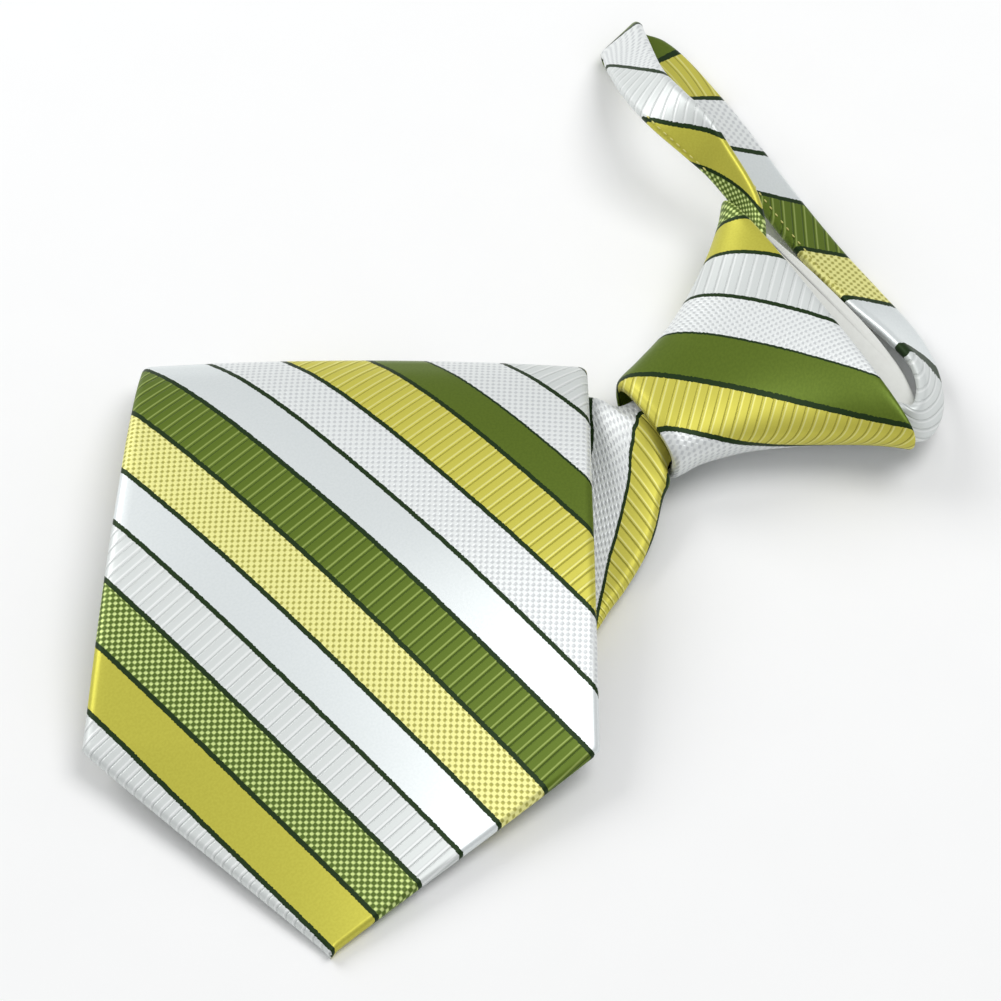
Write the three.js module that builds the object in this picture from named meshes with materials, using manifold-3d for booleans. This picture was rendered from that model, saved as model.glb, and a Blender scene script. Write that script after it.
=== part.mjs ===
// A ready-tied necktie with a zipped tail, folded for a display and lying on its back.
// The pointed front panel lies on top of the folded blade. The knot lies beside it,
// and the neck loop, drawn small, lies beyond the knot.
// Millimetres, +Z up. The surface that it lies on is z = 0, and the origin is on that
// surface, under the middle of the whole.

import * as THREE from 'three';
import { mergeVertices } from 'three/addons/utils/BufferGeometryUtils.js';
import Module from 'manifold-3d';

const wasm = await Module();
wasm.setup();

// Cloth of the padded blade, and the air between folded layers
const clothThickness = 2.2;
const layerGap = 0.3;
const pieceGap = 0.3;

// Front panel, from the fold to the tip
const panelWidth = 86;
const panelFoldWidth = 78.6;
const panelLength = 116.5;
const tipRise = 36;
const tipBluntness = 0.4;
const panelCrown = 2;
const panelLean = 1.77;
const tipX = -27.6;
const tipY = -92;
const panelPuff = 1.2;

// Hidden runs of the blade under the panel
const lowRunWidth = 56;
const lowRunInset = 13.3;
const backFoldShare = 0.824;
const frontFoldShare = 0.62;
const stemLength = 56;
const stemFoldSlant = 28.5;

// Knot, lying on its back
const knotLength = 38.2;
const knotCollarWidth = 62;
const knotMouthWidth = 21.6;
const knotThickness = 17.6;
const knotMouthThickness = 14;
const knotWall = 2;
const knotMouthThinning = 0.5;
const knotMouthX = 25.3;
const knotMouthY = 9.2;
const knotHeading = -144.4;
const knotSkew = 5;

// Former inside the knot
const formerThickness = 1.6;
const formerWidth = 50;
const formerLip = 8.4;
const formerDepth = 22;
const formerHeight = 6.8;
const formerPlay = 3;
const formerClearance = 1;
const formerBevel = 0.48;

// Neck band
const bandWidth = 9;
const bandThickness = 2.2;
const loopReach = 50;
const loopSpread = 14;
const loopHeight = 19;

// Zipped tail
const tailLength = 76;
const tailWidth = 17;
const tailThickness = 1.8;
const coilWidth = 3.2;
const coilTopWidth = 2.2;
const tapeThickness = 1.1;

const radians = (degrees) => degrees * Math.PI / 180;
const mix = (a, b, t) => a + (b - a) * t;
const smooth = (t) => t * t * (3 - 2 * t);

// A closed body from rings of equal length. With loop set, the last ring joins the first.
function bodyFromRings(rings, loop) {
  const count = rings[0].length;
  const positions = [];
  const indices = [];
  for (const ring of rings) {
    for (const point of ring) positions.push(point.x, point.y, point.z);
  }
  const joins = loop ? rings.length : rings.length - 1;
  for (let i = 0; i < joins; i += 1) {
    const near = i * count;
    const far = ((i + 1) % rings.length) * count;
    for (let k = 0; k < count; k += 1) {
      const next = (k + 1) % count;
      indices.push(near + k, near + next, far + next);
      indices.push(near + k, far + next, far + k);
    }
  }
  if (!loop) {
    const last = (rings.length - 1) * count;
    for (let k = 1; k < count - 1; k += 1) {
      indices.push(0, k + 1, k);
      indices.push(last, last + k, last + k + 1);
    }
  }
  const geometry = new THREE.BufferGeometry();
  geometry.setAttribute('position', new THREE.Float32BufferAttribute(positions, 3));
  geometry.setIndex(facesOut(positions, indices));
  geometry.computeVertexNormals();
  return geometry;
}

// The same triangles, turned round where the body would be inside out.
function facesOut(positions, indices) {
  const corner = (i) => new THREE.Vector3().fromArray(positions, 3 * i);
  let volume = 0;
  for (let i = 0; i < indices.length; i += 3) {
    const a = corner(indices[i]);
    const b = corner(indices[i + 1]);
    const c = corner(indices[i + 2]);
    volume += a.dot(b.cross(c));
  }
  if (volume > 0) return indices;
  const turned = [];
  for (let i = 0; i < indices.length; i += 3) {
    turned.push(indices[i], indices[i + 2], indices[i + 1]);
  }
  return turned;
}

// A closed geometry as a solid for a cut, and a solid back as a geometry
function solidOf(geometry) {
  const bare = geometry.clone();
  bare.deleteAttribute('normal');
  bare.deleteAttribute('uv');
  const merged = mergeVertices(bare, 1e-3);
  return new wasm.Manifold(new wasm.Mesh({
    numProp: 3,
    vertProperties: new Float32Array(merged.attributes.position.array),
    triVerts: new Uint32Array(merged.index.array),
  }));
}

function geometryOf(solid) {
  const mesh = solid.getMesh();
  const geometry = new THREE.BufferGeometry();
  geometry.setAttribute('position', new THREE.BufferAttribute(mesh.vertProperties, 3));
  geometry.setIndex(new THREE.BufferAttribute(mesh.triVerts, 1));
  geometry.computeVertexNormals();
  return geometry;
}

// Places across a strip, from its left edge to its right one, with the height of the
// rounded edge there as a share of half the thickness.
function stripPlaces(halfWidth, half, inner) {
  const round = Math.min(half, halfWidth * 0.9);
  const turned = round * (1 - Math.SQRT1_2);
  const places = [{ x: -halfWidth + turned, lift: Math.SQRT1_2 }, { x: -halfWidth + round, lift: 1 }];
  for (let k = 1; k < inner; k += 1) {
    places.push({ x: mix(-halfWidth + round, halfWidth - round, k / inner), lift: 1 });
  }
  places.push({ x: halfWidth - round, lift: 1 }, { x: halfWidth - turned, lift: Math.SQRT1_2 });
  return places;
}

// One ring round a strip of cloth. The section names its two edge points, the normal of
// its face, its thickness, and the arch by which its middle stands above its edges.
function stripRing(section) {
  const left = section.left;
  const right = section.right;
  const halfWidth = left.distanceTo(right) / 2;
  const half = section.thickness / 2;
  const places = stripPlaces(halfWidth, half, section.inner ?? 8);
  const point = (x, height) => {
    const share = (x / halfWidth + 1) / 2;
    const rise = section.arch * (1 - (x / halfWidth) ** 2);
    return left.clone().lerp(right, share)
      .add(section.archWay.clone().multiplyScalar(rise))
      .add(section.normal.clone().multiplyScalar(height));
  };
  const ring = [point(-halfWidth, 0)];
  for (const place of places) ring.push(point(place.x, half * place.lift));
  ring.push(point(halfWidth, 0));
  for (const place of places.slice().reverse()) ring.push(point(place.x, -half * place.lift));
  return ring;
}

// A smooth curve through points, each step of the table cut into equal parts.
function smoothPath(points, cuts) {
  const curve = new THREE.CatmullRomCurve3(points, false, 'centripetal');
  const steps = (points.length - 1) * cuts;
  const samples = [];
  for (let i = 0; i <= steps; i += 1) {
    samples.push({ at: curve.getPoint(i / steps), way: curve.getTangent(i / steps), place: i / cuts });
  }
  return samples;
}

// A row of a table read between its rows, with the names of its columns kept.
function tableAt(rows, place) {
  const low = Math.min(Math.floor(place), rows.length - 2);
  const row = {};
  for (const name of Object.keys(rows[0])) row[name] = mix(rows[low][name], rows[low + 1][name], place - low);
  return row;
}

const up = new THREE.Vector3(0, 0, 1);
const half = clothThickness / 2;
const layerStep = clothThickness + layerGap;
const turnRadius = layerStep / 2;

// Heights of the middle of each run of the blade, from the stem upwards
const stemHeight = tailThickness + pieceGap + half;
const lowRunHeight = stemHeight + layerStep;
const midRunHeight = lowRunHeight + layerStep;
const highRunHeight = midRunHeight + layerStep;
const stackHeight = highRunHeight + layerStep + panelPuff;

const panelAxisX = (y) => tipX + (y - tipY) * Math.tan(radians(panelLean));
const shareY = (share) => tipY + share * panelLength;
const backFoldY = shareY(backFoldShare);
const frontFoldY = shareY(frontFoldShare);

// Half width of the panel at a height above its tip: two straight tip edges, then a taper
function panelHalfWidth(y) {
  const above = y - tipY;
  if (above < tipRise) return Math.max(above / tipRise * panelWidth / 2, tipBluntness);
  const share = Math.min((above - tipRise) / (panelLength - tipRise), 1);
  return mix(panelWidth, panelFoldWidth, share) / 2;
}

// The upper run, the round nose of the fold and the front panel, seen from the side.
// Along is a share of the panel length from the tip, rise a share of the way from the
// surface to the top of the stack, wide a share of the panel's width there, and crown a
// share of the panel's crown. The first row lies at the front fold.
const panelSide = [
  { along: 0.620, rise: 0.722, wide: 0.68, crown: 0.0 },
  { along: 0.720, rise: 0.722, wide: 0.69, crown: 0.0 },
  { along: 0.800, rise: 0.722, wide: 0.70, crown: 0.0 },
  { along: 0.845, rise: 0.690, wide: 0.73, crown: 0.0 },
  { along: 0.880, rise: 0.600, wide: 0.79, crown: 0.0 },
  { along: 0.918, rise: 0.480, wide: 0.86, crown: 0.1 },
  { along: 0.956, rise: 0.400, wide: 0.94, crown: 0.4 },
  { along: 0.988, rise: 0.465, wide: 0.99, crown: 0.8 },
  { along: 0.987, rise: 0.560, wide: 1.00, crown: 1.0 },
  { along: 0.966, rise: 0.675, wide: 1.00, crown: 1.0 },
  { along: 0.936, rise: 0.789, wide: 1.00, crown: 1.0 },
  { along: 0.884, rise: 0.903, wide: 1.00, crown: 1.0 },
  { along: 0.815, rise: 0.978, wide: 1.00, crown: 1.0 },
  { along: 0.720, rise: 1.000, wide: 1.00, crown: 1.0 },
  { along: 0.600, rise: 0.968, wide: 1.00, crown: 1.0 },
  { along: 0.480, rise: 0.827, wide: 1.00, crown: 1.0 },
  { along: 0.309, rise: 0.518, wide: 1.00, crown: 1.0 },
  { along: 0.180, rise: 0.280, wide: 1.00, crown: 1.0 },
  { along: 0.080, rise: 0.118, wide: 1.00, crown: 1.0 },
  { along: 0.000, rise: 0.000, wide: 1.00, crown: 1.0 },
];

// Edges of the blade where it leaves the knot. Along is a share of the stem's length,
// left and right are shares of the low run's width, rise is a share of the mouth's height.
const stemRows = [
  { along: -0.13, left: 0.134, right: 0.134, rise: 0.66, arch: 0.17, settle: 0 },
  { along: 0.005, left: 0.132, right: 0.134, rise: 0.66, arch: 0.17, settle: 0 },
  { along: 0.04, left: 0.215, right: 0.184, rise: 0.63, arch: 0.19, settle: 0 },
  { along: 0.09, left: 0.255, right: 0.215, rise: 0.56, arch: 0.19, settle: 0 },
  { along: 0.18, left: 0.268, right: 0.293, rise: 0.42, arch: 0.13, settle: 0.1 },
  { along: 0.28, left: 0.277, right: 0.354, rise: 0.31, arch: 0.06, settle: 0.4 },
  { along: 0.38, left: 0.290, right: 0.398, rise: 0.25, arch: 0.02, settle: 0.85 },
  { along: 0.48, left: 0.304, right: 0.422, rise: 0.24, arch: 0.0, settle: 1 },
  { along: 0.75, left: 0.400, right: 0.470, rise: 0.24, arch: 0.0, settle: 1 },
  { along: 1.00, left: 0.482, right: 0.482, rise: 0.24, arch: 0.0, settle: 1 },
];

const mouth = new THREE.Vector3(knotMouthX, knotMouthY, 0);
const stemWay = new THREE.Vector3(Math.cos(radians(knotHeading)), Math.sin(radians(knotHeading)), 0);
const stemRight = new THREE.Vector3(-stemWay.y, stemWay.x, 0);
const slantWay = stemRight.clone().applyAxisAngle(up, radians(stemFoldSlant));

// The blade: the stem out of the knot, three plain turns under the panel, the round nose
// of the top fold, and the front panel down to its tip
function bladeSections() {
  const sections = [];
  const add = (left, right, normal, arch = 0) => sections.push({
    left, right, normal, arch, archWay: up, thickness: clothThickness,
  });
  const stemMiddle = (along) => mouth.clone().addScaledVector(stemWay, along * stemLength);
  const slantReach = 1 / Math.cos(radians(stemFoldSlant));

  const stemCuts = 2;
  for (let i = 0; i <= (stemRows.length - 1) * stemCuts; i += 1) {
    const row = tableAt(stemRows, i / stemCuts);
    const turn = smooth(THREE.MathUtils.clamp((row.along - 0.3) / 0.7, 0, 1));
    const across = stemRight.clone().applyAxisAngle(up, radians(stemFoldSlant) * turn);
    const reach = mix(1, slantReach, turn);
    const free = row.rise * knotMouthThickness;
    const height = mix(free, stemHeight, row.settle);
    const arch = row.arch * knotMouthThickness;
    const middle = stemMiddle(row.along).setZ(height - arch);
    const left = middle.clone().addScaledVector(across, -row.left * lowRunWidth * reach);
    const right = middle.clone().addScaledVector(across, row.right * lowRunWidth * reach);
    const slope = mix(0.25, 0, row.settle) * (row.along > 0 ? 1 : 0);
    const normal = up.clone().addScaledVector(stemWay, slope).normalize();
    add(left, right, normal, arch);
  }
  const stemEnd = sections[sections.length - 1];

  // A half turn of the cloth, rolled up and over towards a heading in plan
  const turnSteps = 6;
  const roll = (left, right, heading, face) => {
    for (let i = 1; i <= turnSteps; i += 1) {
      const angle = Math.PI * i / turnSteps;
      const shift = heading.clone().multiplyScalar(turnRadius * Math.sin(angle))
        .addScaledVector(up, turnRadius * (1 - Math.cos(angle)));
      const normal = up.clone().multiplyScalar(Math.cos(angle))
        .addScaledVector(heading, -Math.sin(angle)).multiplyScalar(face);
      add(left.clone().add(shift), right.clone().add(shift), normal);
    }
  };
  const rollWay = up.clone().cross(slantWay).negate();
  roll(stemEnd.left, stemEnd.right, rollWay, 1);

  const lowPair = (height) => {
    const right = panelAxisX(backFoldY) + panelHalfWidth(backFoldY) - lowRunInset;
    const left = right - lowRunWidth;
    return [new THREE.Vector3(left, backFoldY, height), new THREE.Vector3(right, backFoldY, height)];
  };
  const highPair = (height) => {
    const halfWide = panelHalfWidth(frontFoldY) * panelSide[0].wide;
    const left = panelAxisX(frontFoldY) - halfWide;
    const right = panelAxisX(frontFoldY) + halfWide;
    return [new THREE.Vector3(left, frontFoldY, height), new THREE.Vector3(right, frontFoldY, height)];
  };
  const down = up.clone().negate();
  const flatRun = (from, to, normal, steps) => {
    for (let i = 1; i <= steps; i += 1) {
      const left = from[0].clone().lerp(to[0], i / steps);
      const right = from[1].clone().lerp(to[1], i / steps);
      add(left, right, normal);
    }
  };
  const lowStart = [sections[sections.length - 1].left, sections[sections.length - 1].right];
  const lowEnd = lowPair(lowRunHeight);
  flatRun(lowStart, lowEnd, down, 3);
  roll(lowEnd[0], lowEnd[1], new THREE.Vector3(0, 1, 0), -1);
  const midStart = lowPair(midRunHeight);
  const midEnd = highPair(midRunHeight);
  flatRun(midStart, midEnd, up, 3);
  roll(midEnd[0], midEnd[1], new THREE.Vector3(0, -1, 0), 1);

  // Upper run, nose and panel follow one side profile
  const sidePoints = panelSide.map((row) => new THREE.Vector3(
    0, shareY(row.along), mix(half, stackHeight, row.rise)));
  sidePoints[0].set(0, frontFoldY, highRunHeight);
  const side = smoothPath(sidePoints, 2);
  side.slice(1).forEach((sample) => {
    const row = tableAt(panelSide, sample.place);
    const y = sample.at.y;
    const halfWide = panelHalfWidth(y) * row.wide;
    const axis = panelAxisX(y);
    const crown = panelCrown * row.crown * smooth(Math.min((y - tipY) / tipRise, 1));
    const z = sample.at.z - crown;
    const normal = new THREE.Vector3(0, sample.way.z, -sample.way.y).normalize();
    add(new THREE.Vector3(axis - halfWide, y, z), new THREE.Vector3(axis + halfWide, y, z), normal, crown);
  });
  return sections;
}

function bladeGeometry() {
  return bodyFromRings(bladeSections().map(stripRing), false);
}

// The knot, a hollow sleeve. Along is a share of its length from the collar end, width a
// share of the way from the mouth's width to the collar's, and top, base and belt are shares
// of its thickness there. Blunt and below shape the section above and below its belt.
const knotRows = [
  { along: 0.0, width: 0.985, top: 0.93, base: 0.045, belt: 0.58, blunt: 3.0, below: 2 },
  { along: 0.02, width: 1.0, top: 0.975, base: 0.02, belt: 0.6, blunt: 3.0, below: 2 },
  { along: 0.1, width: 0.84, top: 1.0, base: 0.0, belt: 0.6, blunt: 2.7, below: 2 },
  { along: 0.25, width: 0.61, top: 1.01, base: 0.0, belt: 0.6, blunt: 2.4, below: 2 },
  { along: 0.45, width: 0.36, top: 1.01, base: 0.0, belt: 0.62, blunt: 2.3, below: 2 },
  { along: 0.65, width: 0.16, top: 1.01, base: 0.02, belt: 0.66, blunt: 2.3, below: 2 },
  { along: 0.85, width: 0.04, top: 1.02, base: 0.06, belt: 0.68, blunt: 2.3, below: 2 },
  { along: 0.95, width: 0.0, top: 1.02, base: 0.08, belt: 0.66, blunt: 2.3, below: 2.3 },
  { along: 0.985, width: -0.02, top: 0.98, base: 0.1, belt: 0.64, blunt: 2.3, below: 2.5 },
  { along: 1.0, width: -0.05, top: 0.95, base: 0.12, belt: 0.62, blunt: 2.3, below: 2.6 },
];
const knotSides = 36;
const knotAcross = stemRight.clone().applyAxisAngle(up, radians(-knotSkew));
const knotOut = new THREE.Vector3(-knotAcross.y, knotAcross.x, 0);
const collarMiddle = mouth.clone().addScaledVector(stemWay, -knotLength);
const collarCorner = collarMiddle.clone().addScaledVector(knotAcross, -knotCollarWidth / 2);

function knotHalfWidth(along) {
  const places = knotRows.findIndex((row) => row.along > along);
  const far = places < 0 ? knotRows.length - 1 : Math.max(places, 1);
  const span = knotRows[far].along - knotRows[far - 1].along;
  const row = tableAt(knotRows, far - 1 + (along - knotRows[far - 1].along) / span);
  return mix(knotMouthWidth, knotCollarWidth, row.width) / 2;
}

function knotSection(place, wall) {
  const row = tableAt(knotRows, place);
  const thinning = knotMouthThinning * smooth(THREE.MathUtils.clamp(row.along * 5 - 4, 0, 1));
  const inset = wall * (1 - thinning);
  const halfWide = mix(knotMouthWidth, knotCollarWidth, row.width) / 2 - inset;
  const thick = mix(knotThickness, knotMouthThickness, row.along);
  const top = thick * row.top - inset;
  const base = thick * row.base + inset;
  const belt = thick * row.belt;
  const centre = mouth.clone().addScaledVector(stemWay, -(1 - row.along) * knotLength);
  const ring = [];
  for (let k = 0; k < knotSides; k += 1) {
    const angle = 2 * Math.PI * k / knotSides;
    const c = Math.cos(angle);
    const s = Math.sin(angle);
    const power = 2 / (s > 0 ? row.blunt : row.below);
    const reach = halfWide * Math.sign(c) * Math.abs(c) ** power;
    const rise = (s > 0 ? top - belt : belt - base) * Math.sign(s) * Math.abs(s) ** power;
    ring.push(centre.clone().addScaledVector(knotAcross, reach).setZ(belt + rise));
  }
  return ring;
}

// The sleeve's wall, less the room that the band needs where it crosses the collar rim
function knotGeometry() {
  const cuts = 2;
  const steps = (knotRows.length - 1) * cuts;
  const rings = [];
  for (let i = 0; i <= steps; i += 1) rings.push(knotSection(i / cuts, 0));
  for (let i = steps; i >= 0; i -= 1) rings.push(knotSection(i / cuts, knotWall));
  const sleeve = solidOf(bodyFromRings(rings, true));
  return geometryOf(sleeve.subtract(solidOf(bandGeometry(pieceGap))));
}

// The former: a plate wedged between the sleeve's sides, its lip behind the collar edge.
// Side is a share of half the lip's length and out a share of the lip's depth.
const lipRows = [
  { side: -0.93, out: 0.10 },
  { side: -0.99, out: 0.45 },
  { side: -0.72, out: 0.68 },
  { side: -0.20, out: 0.90 },
  { side: 0.30, out: 1.00 },
  { side: 0.70, out: 0.90 },
  { side: 0.95, out: 0.62 },
  { side: 0.99, out: 0.15 },
];

function formerGeometry() {
  const bevel = formerBevel;
  const tight = knotWall + formerPlay + bevel;
  const straight = -stemWay.dot(knotOut);
  const drift = stemWay.dot(knotAcross) / straight;
  const sideAt = (depth) => knotHalfWidth(depth / straight / knotLength) - tight;
  const shape = new THREE.Shape();
  const steps = 5;
  for (let i = 0; i <= steps; i += 1) {
    const depth = mix(formerDepth, formerClearance, i / steps);
    if (i === 0) shape.moveTo(sideAt(depth) + drift * depth, -depth);
    else shape.lineTo(sideAt(depth) + drift * depth, -depth);
  }
  const lip = lipRows.slice().reverse().map((row) => new THREE.Vector2(
    row.side * formerWidth / 2, row.out * formerLip));
  shape.lineTo(lip[0].x, lip[0].y);
  shape.splineThru(lip.slice(1));
  for (let i = steps; i >= 0; i -= 1) {
    const depth = mix(formerDepth, formerClearance, i / steps);
    shape.lineTo(-sideAt(depth) + drift * depth, -depth);
  }
  shape.closePath();
  const geometry = new THREE.ExtrudeGeometry(shape, {
    depth: formerThickness - 2 * bevel, bevelEnabled: true, bevelSize: bevel,
    bevelThickness: bevel, bevelSegments: 2, curveSegments: 3,
  });
  const skewed = new THREE.Matrix4().makeBasis(knotAcross, knotOut, up);
  skewed.setPosition(collarMiddle.clone().setZ(formerHeight + bevel));
  geometry.applyMatrix4(skewed);
  return geometryOf(solidOf(geometry).subtract(solidOf(bandGeometry(pieceGap))));
}

// Neck band. Each row is a place on the band's middle line, seen from the collar corner
// nearest the loop. Along runs away from the knot as a share of the loop's reach, or back
// past the knot as a share of its collar width. Out is a share of the loop's spread and
// rise a share of its height. Side is the way of the band's width in plan and lean its slope,
// both in degrees. Wide is its width as a share.
const bandRows = [
  { along: -0.33, out: -0.76, rise: 0.57, side: -45, lean: 6, wide: 0.6 },
  { along: -0.245, out: -0.38, rise: 0.58, side: -44, lean: 14, wide: 0.6 },
  { along: -0.15, out: 0.0, rise: 0.6, side: -34, lean: 32, wide: 0.6 },
  { along: -0.05, out: 0.2, rise: 0.66, side: -11, lean: 46, wide: 0.62 },
  { along: 0.104, out: 0.17, rise: 0.815, side: 9, lean: 48, wide: 0.78 },
  { along: 0.218, out: 0.07, rise: 0.95, side: 13, lean: 40, wide: 0.95 },
  { along: 0.377, out: -0.05, rise: 1.0, side: 3, lean: 28, wide: 1.0 },
  { along: 0.563, out: 0.02, rise: 0.842, side: -9, lean: 26, wide: 1.0 },
  { along: 0.759, out: 0.26, rise: 0.56, side: -8, lean: 18, wide: 1.04 },
  { along: 0.9, out: 0.47, rise: 0.34, side: 10, lean: 8, wide: 1.15 },
  { along: 0.965, out: 0.59, rise: 0.225, side: 20, lean: 2, wide: 1.25 },
  { along: 0.99, out: 0.62, rise: 0.148, side: 20, lean: 0, wide: 1.25 },
  { along: 0.965, out: 0.63, rise: 0.078, side: 20, lean: 0, wide: 1.25 },
  { along: 0.89, out: 0.85, rise: 0.092, side: 15, lean: -6, wide: 1.1 },
  { along: 0.548, out: 0.99, rise: 0.142, side: -3, lean: -20, wide: 1.0 },
  { along: 0.01, out: 0.92, rise: 0.14, side: -1, lean: -18, wide: 1.0 },
  { along: -0.253, out: 0.92, rise: 0.145, side: 2, lean: -18, wide: 1.0 },
  { along: -0.421, out: 0.96, rise: 0.165, side: 3, lean: -22, wide: 1.0 },
  { along: -0.614, out: 0.99, rise: 0.24, side: -4, lean: -36, wide: 1.0 },
  { along: -0.765, out: 0.87, rise: 0.33, side: -20, lean: -54, wide: 1.0 },
  { along: -0.885, out: 0.56, rise: 0.43, side: -43, lean: -60, wide: 0.9 },
  { along: -0.935, out: 0.22, rise: 0.5, side: -89, lean: -56, wide: 0.8 },
  { along: -0.895, out: -0.06, rise: 0.56, side: -133, lean: -30, wide: 0.7 },
  { along: -0.805, out: -0.38, rise: 0.58, side: -141, lean: -12, wide: 0.6 },
  { along: -0.71, out: -0.72, rise: 0.57, side: -141, lean: -6, wide: 0.6 },
];

// The band, or the room round it where grown is more than nought
function bandGeometry(grown = 0) {
  const points = bandRows.map((row) => collarCorner.clone()
    .addScaledVector(knotAcross, -row.along * (row.along > 0 ? loopReach : knotCollarWidth))
    .addScaledVector(knotOut, row.out * loopSpread)
    .setZ(row.rise * loopHeight));
  const rings = smoothPath(points, 3).map((sample) => {
    const row = tableAt(bandRows, sample.place);
    const side = radians(row.side);
    const lean = radians(row.lean);
    const across = knotOut.clone().multiplyScalar(Math.cos(side) * Math.cos(lean))
      .addScaledVector(knotAcross, -Math.sin(side) * Math.cos(lean))
      .addScaledVector(up, Math.sin(lean));
    const normal = across.clone().cross(sample.way).normalize();
    const width = across.multiplyScalar(bandWidth / 2 * row.wide + grown);
    return stripRing({
      left: sample.at.clone().sub(width), right: sample.at.clone().add(width),
      normal, arch: 0, archWay: up, thickness: bandThickness + 2 * grown, inner: 3,
    });
  });
  return bodyFromRings(rings, false);
}

// Zipped tail: two tapes joined by a raised coil, from inside the mouth to its plain end
const tailRows = [
  { along: -0.13, width: 0.62, height: 0.30 },
  { along: 0.00, width: 0.62, height: 0.27 },
  { along: 0.10, width: 0.80, height: 0.12 },
  { along: 0.20, width: 1.00, height: 0.0 },
  { along: 0.60, width: 1.00, height: 0.0 },
  { along: 0.97, width: 1.00, height: 0.0 },
  { along: 1.00, width: 0.92, height: 0.0 },
];

function tailGeometry() {
  const points = tailRows.map((row) => mouth.clone()
    .addScaledVector(stemWay, row.along * tailLength).setZ(row.height * knotMouthThickness));
  const rings = smoothPath(points, 2).map((sample) => {
    const row = tableAt(tailRows, sample.place);
    const wide = tailWidth / 2 * row.width;
    const coil = coilWidth / 2;
    const coilTop = coilTopWidth / 2;
    const outline = [[-wide, 0], [wide, 0], [wide, tapeThickness], [coil, tapeThickness],
      [coilTop, tailThickness], [-coilTop, tailThickness], [-coil, tapeThickness], [-wide, tapeThickness]];
    const base = sample.at.clone().setZ(Math.max(sample.at.z, 0));
    return outline.map(([x, z]) => base.clone().addScaledVector(stemRight, x).addScaledVector(up, z));
  });
  return bodyFromRings(rings, false);
}

function piece(name, geometry, color, roughness) {
  const material = new THREE.MeshStandardMaterial({ color, roughness, metalness: 0 });
  const mesh = new THREE.Mesh(geometry, material);
  mesh.name = name;
  return mesh;
}

const tie = new THREE.Group();
tie.add(piece('blade', bladeGeometry(), 0xb9bf62, 0.55));
tie.add(piece('knot', knotGeometry(), 0xa3b04a, 0.55));
tie.add(piece('neck_band', bandGeometry(), 0xc9cc8f, 0.6));
tie.add(piece('zip_tail', tailGeometry(), 0x8a9440, 0.6));

tie.add(piece('knot_former', formerGeometry(), 0xe6e7e2, 0.35));

// The origin goes under the middle of the whole
const reach = new THREE.Box3().setFromObject(tie);
tie.position.set(-(reach.min.x + reach.max.x) / 2, -(reach.min.y + reach.max.y) / 2, -reach.min.z);
tie.updateMatrixWorld(true);

export default tie;
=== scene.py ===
# %% [markdown]
# A zipper tie is a necktie that is tied once for good: the knot never opens, and a zipped tail
# makes the neck loop larger or smaller. Here it lies folded for a display. The pointed front
# panel is on top, the knot lies beside it, and the small neck loop lies beyond the knot.
# Each part is modelled from the same few sizes, with a woven stripe that follows the cloth.

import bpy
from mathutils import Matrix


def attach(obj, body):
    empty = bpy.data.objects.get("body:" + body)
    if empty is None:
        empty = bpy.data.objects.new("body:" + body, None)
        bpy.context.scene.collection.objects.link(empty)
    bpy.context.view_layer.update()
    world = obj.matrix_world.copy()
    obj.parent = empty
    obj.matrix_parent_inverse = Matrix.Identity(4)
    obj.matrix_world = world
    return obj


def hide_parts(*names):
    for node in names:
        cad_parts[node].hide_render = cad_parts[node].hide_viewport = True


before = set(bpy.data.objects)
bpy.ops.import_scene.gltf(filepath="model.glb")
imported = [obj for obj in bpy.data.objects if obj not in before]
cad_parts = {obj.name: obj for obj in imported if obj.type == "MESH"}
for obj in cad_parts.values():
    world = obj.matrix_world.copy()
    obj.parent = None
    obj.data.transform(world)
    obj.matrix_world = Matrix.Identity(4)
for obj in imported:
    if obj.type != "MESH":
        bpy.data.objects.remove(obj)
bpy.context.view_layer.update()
print("nodes", sorted(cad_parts))

# %% [markdown]
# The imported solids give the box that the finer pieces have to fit, and each solid is replaced
# further down. Next come the libraries that shape meshes and do the arithmetic. The sizes could
# be in metres throughout, but a tie is measured in millimetres, and MM turns them into metres.

# %% Tools of the lesson
import math

import bmesh
import bpy
import numpy as np
from mathutils import Vector

MM = 0.001
UP = np.array([0.0, 0.0, 1.0])

# %% [markdown]
# The camera comes first, because it settles what has to be fine and what may stay plain. It
# looks down at the tie from the front, steeply, through a long lens. A Track To constraint
# could turn it, but a turn worked out once leaves nothing live in the scene.

# %% Camera
aim = Vector((-4.48, -8.77, 0)) * MM
camera_distance = 733.5 * MM
camera_elevation = math.radians(54)
seen_width = 175.2 * MM
sensor_width = 36

camera_data = bpy.data.cameras.new("studio_camera")
camera_data.sensor_width = sensor_width
camera_data.lens = sensor_width * camera_distance / seen_width
camera_data.clip_start = 0.01
camera = bpy.data.objects.new("studio_camera", camera_data)
bpy.context.scene.collection.objects.link(camera)
back = Vector((0, -math.cos(camera_elevation), math.sin(camera_elevation)))
camera.location = aim + back * camera_distance
camera.rotation_mode = "QUATERNION"
camera.rotation_quaternion = back.to_track_quat("Z", "Y")
bpy.context.scene.camera = camera
print("lens", round(camera_data.lens, 1), "mm")

# %% [markdown]
# The sizes below are the real ones, in millimetres. A widest panel of 86 mm is that of a man's
# tie, and every other size was read beside it. They could be typed where they are used, but
# named in one place they reach every piece at once. The heights count up from the floor, one
# layer of cloth on the next.

# %% Sizes of the cloth and its folds
cloth = 2.2
half_cloth = cloth / 2
layer_step = cloth + 0.3
turn_radius = layer_step / 2
tail_thickness = 1.8
piece_gap = 0.3

panel_width = 86
panel_fold_width = 78.6
panel_length = 116.5
tip_rise = 36
tip_bluntness = 0.4
panel_crown = 2
panel_lean = math.tan(math.radians(1.77))
tip_x = -32.08
tip_y = -100.77
panel_puff = 1.2

low_run_width = 56
low_run_inset = 13.3
back_fold_share = 0.824
front_fold_share = 0.62
stem_length = 56
stem_fold_slant = math.radians(28.5)

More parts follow.
